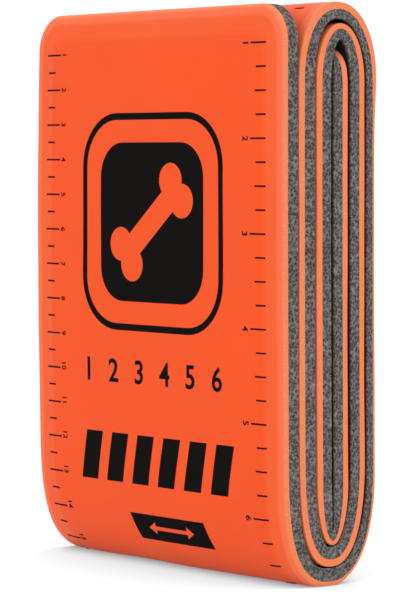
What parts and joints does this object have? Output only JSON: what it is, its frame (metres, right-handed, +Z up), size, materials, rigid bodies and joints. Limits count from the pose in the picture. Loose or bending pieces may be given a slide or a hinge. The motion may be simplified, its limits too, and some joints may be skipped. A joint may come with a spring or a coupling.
{
  "type": "aluminium foam splint",
  "caption": "Flat-folded first-aid splint strip: soft aluminium core between an orange and a grey closed-cell foam face, standing on its bottom fold.",
  "frame": {"origin": "bottom centre of the folded roll's box, on the surface it stands on", "axes": "+Z up along the runs, -Y out of the printed front run, X along the strip's width"},
  "size_m": [0.108, 0.0366, 0.1565],
  "materials": {
    "orange_foam": "smooth closed-cell foam skin, satin, with black printed ruler marks",
    "grey_foam": "fine open-looking cells at the cut edges, matt",
    "aluminium": "soft mill-finish sheet, hidden between the foams"
  },
  "bodies": {
    "root": {"orange_foam": "orange_foam", "grey_foam": "grey_foam", "aluminium_core": "aluminium"}
  },
  "joints": []
}
